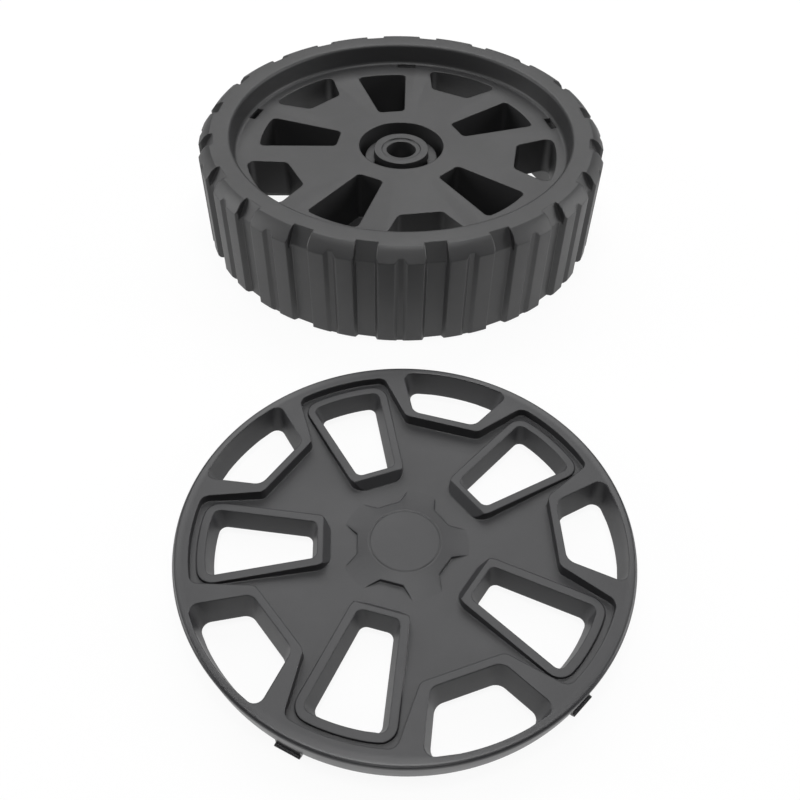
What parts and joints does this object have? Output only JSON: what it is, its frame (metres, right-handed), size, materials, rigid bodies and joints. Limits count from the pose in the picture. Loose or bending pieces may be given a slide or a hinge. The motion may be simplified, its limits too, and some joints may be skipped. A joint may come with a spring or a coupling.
{
  "type": "wheel",
  "caption": "Grooved plastic wheel for a garden machine, with a plain hub bore, a windowed web and a round clip-on cover lying beside it.",
  "frame": {"origin": "on the bore axis, halfway up the wheel's width", "axes": "+Z along the bore, out of the face that takes the cover; the cover lies on the same floor towards -Y"},
  "size_m": [0.178, 0.3485, 0.045],
  "materials": {
    "wheel": "fine-grained charcoal plastic",
    "cover": "fine-grained charcoal plastic with a smoother rim"
  },
  "bodies": {
    "root": {"wheel": "wheel", "cover": "cover"}
  },
  "joints": []
}
